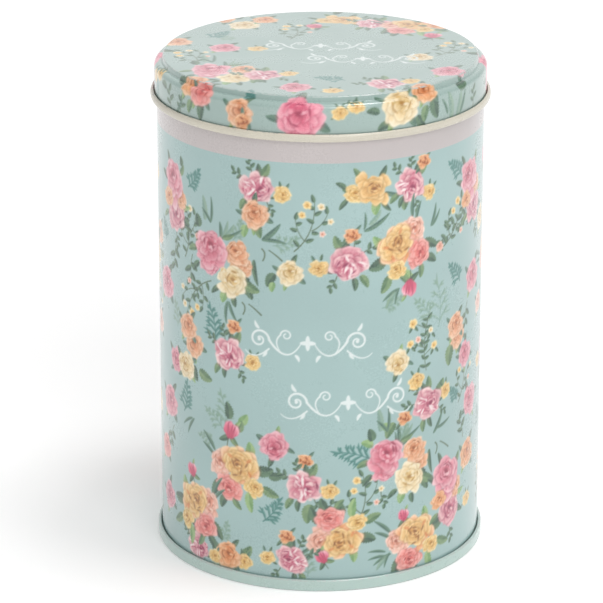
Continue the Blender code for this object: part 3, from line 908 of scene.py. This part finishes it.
def skirt_pen(angle, height, turn=0.0):
    """A pen on the lid's skirt, stretched as the drawn metal will squeeze it."""
    run = lid_run[-1] + PRINT_FOOT_Z - height
    a = math.radians(angle)
    right, up = np.array((math.cos(a), math.sin(a))), np.array((-math.sin(a), math.cos(a)))
    axes = np.stack((right * run / (LID_SKIRT_MID + HALF), up), 1)
    return Pen(lid_sheet, LID_SHEET_R - up * run, axes).moved(turn=turn)


def draw_on_top(drawing, x, y, turn=0, size=1.0):
    draw(drawing, top_pen(x, y, turn), size)


def draw_on_skirt(around, drawing, angle, height, turn=0, size=1.0):
    """One row of the skirt's layout; at the sides only the middle of it is printed."""
    if around % 180 == 0 or abs(angle) <= SKIRT_SHARE:
        draw(drawing, skirt_pen(angle + around, height, turn), size)


# (drawing, millimetres to the right of the middle and behind it, turn, size)
TOP_LAYOUT = (
    (pale_fern, -30, 14, 30, 8.0), (fern, -38, 18, -40, 10.0), (fern, 8, -34, 70, 10.0),
    (fern, 24, 22, 10, 8.0), (vine, -8, 26, 20), (vine, 44, 4), (vine, -42, -6, 40),
    (cream_rose, -26, 34, 0, 1.2), (orange_rose, -19, 41), (yellow_pair, 7.5, 41),
    (mauve, 18, 36), (gold, 30, 33, 0, 0.9), (bud, 38, 21), (peach_rose, -48, 12.5),
    (pink_rose, -32, 5), (small_yellow, -21, 4), (trio, -36, -22), (mauve, -19, -28, 20),
    (pink_rose, -8, -42, 30), (mauve, 21, -38, 30), (pink_rose, 42, -23, 0, 1.1),
    (cream_rose, 33, -6), (small_yellow, 4, -46), (bud, -2, 33, 40, 0.9),
)
# (drawing, degrees to the right of the front, height, turn, size)
SKIRT_LAYOUT = (
    (fern, -25, 169.5, 10, 5.5), (sprig, -62, 159, 10, 7.0), (sprig, -56, 159, -10, 6.5),
    (blade, -58, 159, -30, 0.9), (dark_leaf, -54, 170, 70, 1.2),
    (dark_leaf, -44, 165.5, 175, 1.2), (mid_leaf, -49, 165.5, 160),
    (orange_rose, -50, 171.5, 0, 1.2), (coral_rose, -44.5, 169, 0, 1.2), (peach_rose, -28, 165),
    (orange_bud, -27, 162, 40, 1.1), (red_rose, -6.6, 165, 30, 1.3),
    (small_yellow, 6.5, 166.5, 10, 0.8), (small_yellow, 12, 168.5, -20, 0.85),
    (sprig, 8, 170, -80, 4.0), (dark_leaf, 20, 166, 80, 0.9), (dark_leaf, 24, 162, 110),
    (dark_leaf, 34, 163, -140, 1.1), (mid_leaf, 33, 169, -70, 1.1), (cream_rose, 28, 167, 0, 1.5),
    (dark_leaf, 41, 168, -164, 1.5), (mid_leaf, 38, 166, 170, 1.1),
    (orange_rose, 39, 171.5, 0, 1.1), (pale_blade, 50, 159, 8, 1.2),
    (pale_blade, 53, 159, -14, 1.1), (blade, 48, 161, 24, 0.8), (blade, 55, 160, -20),
    (dark_leaf, 54, 169, -80, 1.2), (sprig, 64, 160, 0, 6.0), (fern, -76, 160, 0, 6.5),
)
SKIRT_REPEAT = 95                 # the front's middle comes again this far round each way
SKIRT_SHARE = 20                  # half the width of what comes again there, in degrees
for row in TOP_LAYOUT:
    draw_on_top(*row)
for around in (0, SKIRT_REPEAT, 180, 180 + SKIRT_REPEAT):
    for row in SKIRT_LAYOUT:
        draw_on_skirt(around, *row)
scrollwork(top_pen(0, 8), 40, 14)
scrollwork(top_pen(14, -8), 40, 14)


# ---------------------------------------------------------------- materials
def node(tree, kind, inputs=None, **settings):
    """A shader node; an input given as a socket is linked, and anything else is set."""
    made = tree.nodes.new("ShaderNode" + kind)
    for key, value in settings.items():
        setattr(made, key, value)
    for key, value in (inputs or {}).items():
        if isinstance(value, bpy.types.NodeSocket):
            tree.links.new(value, made.inputs[key])
        else:
            made.inputs[key].default_value = value
    return made


def noise(tree, place, scale, detail=2.0, roughness=0.5, stretch=None):
    if stretch is not None:
        place = node(tree, "Mapping", {"Vector": place, "Scale": stretch}).outputs[0]
    return node(tree, "TexNoise", {"Vector": place, "Scale": scale, "Detail": detail,
                                   "Roughness": roughness}).outputs[0]


def ramp(tree, value, low, high, to_low, to_high):
    made = node(tree, "MapRange", {"Value": value, "From Min": low, "From Max": high,
                                   "To Min": to_low, "To Max": to_high})
    made.interpolation_type = "SMOOTHSTEP"
    return made.outputs[0]


def spread(tree, value, to_low, to_high):
    """A noise, which keeps near its middle, spread over a range."""
    return ramp(tree, value, 0.3, 0.7, to_low, to_high)


def sums(tree, operation, first, second):
    return node(tree, "Math", {0: first, 1: second}, operation=operation).outputs[0]


def times(tree, first, second):
    return sums(tree, "MULTIPLY", first, second)


def mixed(tree, share, first, second, blend="MIX"):
    return node(tree, "Mix", {0: share, 6: first, 7: second}, data_type="RGBA",
                blend_type=blend).outputs[2]


def screen(colour):
    return (*linear(np.array(colour) / 255), 1.0)


def material(name):
    """A new material, with its tree, its shader and the place on the object being shaded."""
    made = bpy.data.materials.new(name)
    made.use_nodes = True
    tree = made.node_tree
    return made, tree, tree.nodes["Principled BSDF"], node(tree, "TexCoord").outputs["Object"]


def feed(tree, shader, colour, roughness, height, depth, strength=1.0):
    """Links a shader's colour, its roughness and a relief, depth metres deep."""
    tree.links.new(colour, shader.inputs["Base Color"])
    tree.links.new(roughness, shader.inputs["Roughness"])
    bump = node(tree, "Bump", {"Height": height, "Strength": strength, "Distance": depth})
    tree.links.new(bump.outputs[0], shader.inputs["Normal"])


def worn(tree, place, low, high):
    """Where an edge has lost its coating: the edge attribute broken up by noise."""
    edge = node(tree, "Attribute", attribute_name="edge").outputs["Fac"]
    patches = sums(tree, "ADD", noise(tree, place, 160, 4, 0.7), noise(tree, place, 900, 2))
    return ramp(tree, times(tree, edge, patches), low, high, 0.0, 1.0)


def printed_material(name, band, wear=(0.84, 1.02)):
    """Ink under clear varnish; a band of pale ink runs round above BAND_Z where asked."""
    made, tree, shader, place = material(name)
    ink = node(tree, "VertexColor", layer_name="ink")
    colour = ink.outputs["Color"]
    if band:
        height = node(tree, "SeparateXYZ", {0: place}).outputs["Z"]
        line = sums(tree, "ADD", BAND_Z * MM, times(tree, noise(tree, place, 700), 0.00012))
        share = sums(tree, "GREATER_THAN", height, line)
        colour = mixed(tree, share, colour, screen(BAND))
    cloud = spread(tree, noise(tree, place, 26, 3), 0.965, 1.03)
    grain = ramp(tree, noise(tree, place, 1400, 3, 0.6), 0.25, 0.75, 0.988, 1.012)
    colour = mixed(tree, 1.0, colour, times(tree, cloud, grain), "MULTIPLY")
    lost = worn(tree, place, *wear)
    colour = mixed(tree, times(tree, lost, 0.8), colour, screen(WORN_TIN))
    smudge = spread(tree, noise(tree, place, 42, 4, 0.6), 0.25, 0.35)
    fine = spread(tree, noise(tree, place, 1500, 2), -0.02, 0.02)
    peel = noise(tree, place, 520, 2, 0.4)
    roll = noise(tree, place, 60, 2, 0.5)
    relief = sums(tree, "ADD", times(tree, peel, 0.05),
                  sums(tree, "ADD", times(tree, roll, 2.5), times(tree, ink.outputs["Alpha"], 0.5)))
    relief = sums(tree, "SUBTRACT", relief, times(tree, lost, 2.0))
    feed(tree, shader, colour, sums(tree, "ADD", smudge, fine), relief, 0.000006)
    shader.inputs["Coat Weight"].default_value = 0.7
    shader.inputs["Coat Roughness"].default_value = 0.14
    shader.inputs["IOR"].default_value = 1.5
    return made


def lacquer_material(name, colour):
    """Pale lacquer on tinplate, as the inside of the tin and the lid's curl have."""
    made, tree, shader, place = material(name)
    cloud = noise(tree, place, 34, 4, 0.6)
    tint = tuple(min(1.0, c * 0.93) for c in screen(colour)[:3]) + (1.0,)
    shade = mixed(tree, spread(tree, cloud, 0.0, 1.0), screen(colour), tint)
    grain = ramp(tree, noise(tree, place, 2200, 3, 0.7), 0.25, 0.75, 0.95, 1.04)
    shade = mixed(tree, 1.0, shade, grain, "MULTIPLY")
    lost = worn(tree, place, 1.02, 1.2)
    shade = mixed(tree, times(tree, lost, 0.7), shade, screen((168, 166, 160)))
    dull = spread(tree, noise(tree, place, 70, 4, 0.6), 0.24, 0.38)
    relief = sums(tree, "ADD", times(tree, noise(tree, place, 480, 2), 0.5),
                  times(tree, noise(tree, place, 55, 2), 2.0))
    feed(tree, shader, shade, dull, relief, 0.000008)
    shader.inputs["Coat Weight"].default_value = 0.3
    shader.inputs["Coat Roughness"].default_value = 0.15
    return made


def tinplate_material(name):
    """Bare bright tinplate with its rolling lines and a faintly clouded tone."""
    made, tree, shader, place = material(name)
    lines = noise(tree, place, 300, 4, 0.6, (0.15, 0.15, 8.0))
    cloud = noise(tree, place, 30, 3)
    shade = mixed(tree, spread(tree, cloud, 0.0, 1.0), screen((206, 205, 200)),
                  screen((186, 184, 178)))
    shade = mixed(tree, 1.0, shade, spread(tree, lines, 0.9, 1.06), "MULTIPLY")
    both = sums(tree, "ADD", times(tree, lines, 0.5), times(tree, cloud, 0.5))
    feed(tree, shader, shade, spread(tree, both, 0.2, 0.42), lines, 0.000006)
    shader.inputs["Metallic"].default_value = 1.0
    return made


def compound_material(name):
    """Rubbery sealing compound with a slightly pitted surface, darker and rougher in its pits."""
    made, tree, shader, place = material(name)
    pits = noise(tree, place, 1400, 4, 0.7)
    shade = mixed(tree, spread(tree, pits, 0.0, 1.0), screen((188, 182, 168)),
                  screen((218, 214, 202)))
    feed(tree, shader, shade, spread(tree, pits, 0.9, 0.7), pits, 0.00006, 0.6)
    return made


wall_ink = printed_material("varnished_wall_print", True)
lid_ink = printed_material("varnished_lid_print", False)
base_ink = printed_material("varnished_base", False, (0.85, 1.05))
lacquer = lacquer_material("pale_lacquer", LACQUER)
tinplate = tinplate_material("tinplate")

# ---------------------------------------------------------------- the tin's wall
hook_path = [(WALL_MID + 2 * LAYER, HOOK_TOP_Z)]
hook_path += arc(WALL_MID + LAYER, FOLD_Z, LAYER, 360, 180, 16)
rim_path = arc(WALL_MID - RIM_CURL_R, RIM_TOP_Z - HALF - RIM_CURL_R, RIM_CURL_R, 0, 285, 36)
sheet_line = hook_path + rim_path
inner_side = offset_line(sheet_line, HALF)
outer_side = offset_line(sheet_line, -(HALF - FILM))
outline = outer_side + inner_side[::-1]
slots = [1] * len(outer_side) + [0] * len(inner_side)
tin_wall, _, _ = turned("tin_wall", outline, [lacquer, tinplate], slots=slots)
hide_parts("body_wall")
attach(tin_wall, "tin_body")

# the print: a fine grid outside, closed by one plain face strip inside
rows = np.arange(wall_sheet.ny // POOL)
row_z = PRINT_LOW_Z + (rows + 0.5) * POOL * CELL
band_top = RIM_TOP_Z - HALF - RIM_CURL_R
band_z = np.linspace(row_z[-1] + POOL * CELL, band_top, 24)
all_z = np.concatenate(([PRINT_LOW_Z - 0.6], row_z, band_z))
wall_outline = [(WALL_R, z) for z in all_z]
wall_outline += [(WALL_R - FILM_BACK, all_z[-1]), (WALL_R - FILM_BACK, all_z[0])]
pooled = wall_sheet.pooled()
columns = pooled.shape[1]
wall_print, which, angles = turned("wall_print", wall_outline, [wall_ink], counts=columns)
colours = bare(AQUA, len(which))
inked = (which >= 1) & (which <= len(rows))
column = np.round((angles[inked] / math.tau + 0.5) * columns).astype(int) % columns
colours[inked] = pooled[which[inked] - 1, column]
rim_wear = smooth(all_z, band_top - 0.8, band_top) * 0.5
edges = np.append(rim_wear, (0, 0))[which]
recolour(wall_print, colours)
wall_print.data.attributes["edge"].data.foreach_set("value", edges.astype(np.float32))
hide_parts("body_wall")
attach(wall_print, "tin_body")


def lock_seam():
    """The folded strip up the back, with rounded sides and a finger-wide taper at each end."""
    half = LOCK_WIDTH / 2
    foot = LOCK_PROUD - LOCK_SIDE_R
    section = [(-half, -0.10), (-half, foot)]
    section += [(-half + LOCK_SIDE_R * (1 - math.cos(t)), foot + LOCK_SIDE_R * math.sin(t))
                for t in np.linspace(0.2, math.pi / 2, 6)]
    section += [(x, LOCK_PROUD - 0.05 * (abs(x - LOCK_GROOVE_X) < 0.12))
                for x in np.linspace(-half + 0.5, half - 0.5, 25)]
    section += [(-x, h) for x, h in section[:8][::-1]]
    heights = np.concatenate((LOCK_LOW_Z + np.array((0, 0.15, 0.4, 0.8)),
                              np.linspace(8, LOCK_HIGH_Z - 3, LOCK_LEVELS),
                              LOCK_HIGH_Z - np.array((0.8, 0.4, 0.15, 0))))
    taper = [0.55, 0.8, 0.95, 1] + [1] * LOCK_LEVELS + [1, 0.95, 0.8, 0.55]
    rings = []
    for z, grow in zip(heights, taper):
        for x, h in section:
            r = WALL_R + (h * grow if h > 0 else h)
            rings.append((-r * math.sin(x / WALL_R), r * math.cos(x / WALL_R), z))
    count, levels = len(section), len(heights)
    number = np.arange(count * levels).reshape(levels, count)
    quads = np.concatenate([strip(number[k], number[k + 1])[0] for k in range(levels - 1)])
    ends = np.array(rings).reshape(levels, count, 3)[[0, -1]].mean(1)
    low_end, high_end = count * levels, count * levels + 1
    places = np.array(rings + [tuple(ends[0]), tuple(ends[1])])
    tris = np.concatenate((strip([low_end], number[0])[1], strip(number[-1], [high_end])[1]))
    seam = mesh_piece("lock_seam", places, quads, tris, [wall_ink])
    x = np.concatenate((np.tile([s[0] for s in section], levels), (0, 0)))
    fold = np.clip(1 - np.abs(np.abs(x) - half + 0.2) / 0.3, 0, 1) * 0.9
    fold = np.maximum(fold, np.clip(1 - np.abs(x - LOCK_GROOVE_X) / 0.2, 0, 1) * 0.55)
    colour_points(seam, bare(AQUA, len(places)), fold)
    return seam


seam = lock_seam()
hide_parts("body_wall")
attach(seam, "tin_body")

# ---------------------------------------------------------------- base
low_z = PANEL_Z - BEAD_DROP
bead_in = BEAD_R - BEAD_HALF - 0.8
chuck_r = WALL_MID - LAYER
base_path = [(0.0, low_z), (bead_in, low_z)]
base_path += [(bead_in + 4.0 * t, low_z + BEAD_DROP * float(smooth(t, 0, 1)))
              for t in np.linspace(0.08, 1, 16)]
base_path += arc(chuck_r - PANEL_BEND_R, PANEL_Z - PANEL_BEND_R, PANEL_BEND_R, 90, 0, 12)
base_path += arc(chuck_r + FOOT_CORNER_R, HALF + FOOT_CORNER_R, FOOT_CORNER_R, 180, 270, 8)
base_path += arc(WALL_MID + 3 * LAYER - FOOT_CORNER_R, HALF + FOOT_CORNER_R, FOOT_CORNER_R,
                 270, 360, 8)
base_path += arc(WALL_MID + 2 * LAYER, SEAM_HEIGHT - HALF - LAYER, LAYER, 0, 180, 18)
base_path += [(WALL_MID + LAYER, END_HOOK_LOW_Z)]
base_under = offset_line(base_path, -HALF)
base_upper = offset_line(base_path, HALF)
base_under[0], base_upper[0] = (0.0, low_z - HALF), (0.0, low_z + HALF)
outline = base_under + base_upper[::-1]
slots = [0] * len(base_under) + [1] * (len(base_upper) - 1)
base_fine, _, _ = turned("base_end_fine", outline, [base_ink, lacquer], closed=False,
                         slots=slots, ground=BASE_AQUA)
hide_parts("base_end")
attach(base_fine, "tin_body")

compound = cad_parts["seam_compound"]
compound.data.materials.clear()
compound.data.materials.append(compound_material("sealing_compound"))

# ---------------------------------------------------------------- lid
curl_line = arc(LID_SKIRT_MID + LID_CURL_HALF_W, LID_CURL_Z, LID_CURL_HALF_W, 180, 465, 40,
                LID_CURL_HALF_H)
shell_line = LID_PATH + curl_line
shell_under = offset_line(shell_line, -HALF)
shell_upper = offset_line(shell_line, HALF - FILM)
shell_under[0], shell_upper[0] = (0.0, LID_TOP_Z - SHEET), (0.0, LID_TOP_Z - FILM)
outline = shell_under + shell_upper[::-1]
lid_shell, _, _ = turned("lid_shell", outline, [lacquer], closed=False)
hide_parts("lid")
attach(lid_shell, "lid_body")

# towards the middle, the rings halve their columns again and again
counts = [LID_COLUMNS // 2 ** sum(r <= limit for limit in (26, 13, 6.5, 3)) for r, _ in lid_dense]
lid_back = offset_line(resample(lid_outer, 8.0), -FILM_BACK)
lid_back[0] = (0.0, LID_TOP_Z - FILM_BACK)
outline = lid_back + lid_dense[::-1]
counts = [LID_COLUMNS] * len(lid_back) + counts[::-1]
lid_print, which, angles = turned("lid_print", outline, [lid_ink], False, counts)
run = np.concatenate((np.zeros(len(lid_back)), lid_run[::-1]))[which]
pooled = lid_sheet.pooled()
across = (LID_SHEET_R + run * np.sin(angles)) / (CELL * POOL) - 0.5
along = (LID_SHEET_R - run * np.cos(angles)) / (CELL * POOL) - 0.5
col, row = np.floor(across).astype(int), np.floor(along).astype(int)
fx, fy = (across - col)[:, None], (along - row)[:, None]
ink = (pooled[row, col] * (1 - fx) + pooled[row, col + 1] * fx) * (1 - fy) \
    + (pooled[row + 1, col] * (1 - fx) + pooled[row + 1, col + 1] * fx) * fy
recolour(lid_print, ink)
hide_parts("lid")
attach(lid_print, "lid_body")


# ---------------------------------------------------------------- floor, light and camera
FLOOR_HALF = 6.0                  # metres
LAMP_AIM = (0, 0, 0.08)
LENS, SENSOR = 211.9, 36
CAMERA_AWAY, CAMERA_RISE = 1.1427, 0.4902
CAMERA_AIM = (-0.00636, 0, 0.0831)


def floor_material():
    """Pale matt paint, which glows a little more with distance, as a lit sweep does."""
    made, tree, shader, place = material("pale_floor")
    shade = ramp(tree, noise(tree, place, 3, 3), 0.3, 0.7, 0.93, 0.95)
    tree.links.new(shade, shader.inputs["Base Color"])
    shader.inputs["Roughness"].default_value = 0.85
    shader.inputs["Emission Color"].default_value = (1, 1, 1, 1)
    away = node(tree, "VectorMath", {0: place}, operation="LENGTH").outputs["Value"]
    tree.links.new(ramp(tree, away, 0.15, 1.2, 0.14, 0.45), shader.inputs["Emission Strength"])
    return made


floor_mesh = bpy.data.meshes.new("floor")
corners = [(x * FLOOR_HALF, y * FLOOR_HALF, 0) for x, y in ((-1, -1), (1, -1), (1, 1), (-1, 1))]
floor_mesh.from_pydata(corners, [], [(0, 1, 2, 3)])
floor_mesh.materials.append(floor_material())
floor = bpy.data.objects.new("floor", floor_mesh)
bpy.context.scene.collection.objects.link(floor)


def place_in_scene(name, data, place, aim):
    """A light or a camera at a place, turned towards aim."""
    holder = bpy.data.objects.new(name, data)
    holder.location = place
    facing = Vector(aim) - holder.location
    holder.rotation_euler = facing.to_track_quat("-Z", "Y").to_euler()
    bpy.context.scene.collection.objects.link(holder)
    return holder


def area_light(name, place, size, power):
    lamp = bpy.data.lights.new(name, "AREA")
    lamp.shape = "RECTANGLE"
    lamp.size = lamp.size_y = size
    lamp.energy = power
    place_in_scene(name, lamp, place, LAMP_AIM)


area_light("front_light", (0.45, -1.35, 1.25), 0.8, 7.8)
area_light("top_light", (0.45, -0.15, 1.65), 0.5, 9)


def studio_world():
    """Soft white surroundings, brightest behind the object, where the backdrop is lit."""
    world = bpy.data.worlds.new("studio")
    world.use_nodes = True
    tree = world.node_tree
    sky = node(tree, "SeparateXYZ", {0: node(tree, "TexCoord").outputs["Generated"]})
    behind = ramp(tree, sky.outputs["Y"], -0.6, 0.8, 0.55, 1.0)
    left = ramp(tree, sky.outputs["X"], -0.95, -0.2, 0.52, 1.0)
    flank = times(tree, left, ramp(tree, sky.outputs["X"], 0.15, 0.95, 1.0, 0.34))
    overhead = ramp(tree, sky.outputs["Z"], 0.3, 1.0, 0.0, 1.0)
    level = mixed(tree, overhead, times(tree, behind, flank), (0.65, 0.65, 0.65, 1.0))
    horizon = ramp(tree, sky.outputs["Z"], 0.04, 0.1, 1.0, 0.0)
    level = mixed(tree, horizon, level, (1.0, 1.0, 1.0, 1.0))
    backdrop = tree.nodes["Background"]
    tree.links.new(level, backdrop.inputs["Color"])
    backdrop.inputs["Strength"].default_value = 1.0
    bpy.context.scene.world = world


studio_world()
bpy.context.scene.view_settings.view_transform = "Standard"

camera_data = bpy.data.cameras.new("camera")
camera_data.sensor_width = SENSOR
camera_data.lens = LENS
camera = place_in_scene("camera", camera_data, (0, -CAMERA_AWAY, CAMERA_RISE), CAMERA_AIM)
bpy.context.scene.camera = camera

bpy.context.view_layer.update()
